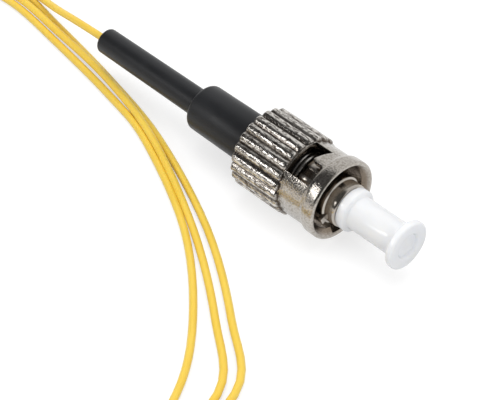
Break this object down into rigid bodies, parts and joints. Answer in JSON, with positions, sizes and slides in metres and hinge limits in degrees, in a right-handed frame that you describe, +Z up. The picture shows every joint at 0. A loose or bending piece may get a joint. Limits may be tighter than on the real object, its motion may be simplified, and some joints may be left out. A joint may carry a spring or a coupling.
{
  "type": "st fibre connector",
  "caption": "Bayonet fibre-optic connector with a knurled sprung coupling nut, black boot, translucent dust cap and a coiled yellow buffered-fibre lead.",
  "frame": {"origin": "on the surface that the connector lies on, below the middle of its length", "axes": "+X along the connector toward its capped nose, +Z up"},
  "size_m": [0.0812, 0.0574, 0.0097],
  "materials": {
    "nickel_plating": "bright nickel on die-cast zinc",
    "spring_steel": "bright drawn wire and strip",
    "holder_nickel": "turned brass, nickel plated",
    "zirconia": "polished white ceramic",
    "glass_fibre": "clear",
    "epoxy": "cured amber resin",
    "guide_tube": "smooth white tube",
    "fibre_jacket": "satin yellow buffer",
    "boot_rubber": "satin black elastomer",
    "cap_plastic": "translucent natural polyethylene"
  },
  "bodies": {
    "connector": {"ferrule_holder": "holder_nickel", "alignment_key": "holder_nickel", "ferrule": "zirconia", "bare_fibre": "glass_fibre", "epoxy_fill": "epoxy", "support_tube": "guide_tube", "covered_fibre": "fibre_jacket", "strain_relief_boot": "boot_rubber", "retaining_clip": "spring_steel", "coil_spring": "spring_steel", "fibre_lead": "fibre_jacket", "fibre_coil": "fibre_jacket", "fibre_end_coil": "fibre_jacket"},
    "slider": {"thrust_washer": "spring_steel"},
    "nut": {"coupling_nut": "nickel_plating"},
    "cap": {"dust_cap": "cap_plastic"}
  },
  "joints": [
    {"name": "nut_push", "type": "slide", "parent": "connector", "child": "slider", "axis": [1, 0, 0], "range_m": [0, 0.002], "stiffness_N_per_m": 2500, "springref_m": -0.002, "deforming": ["coil_spring"]},
    {"name": "nut_turn", "type": "hinge", "parent": "slider", "child": "nut", "pos_m": [0.005, 0, 0.00485], "axis": [1, 0, 0], "continuous": true},
    {"name": "cap_pull", "type": "slide", "parent": "connector", "child": "cap", "axis": [1, 0, 0], "range_m": [0, 0.012]}
  ]
}
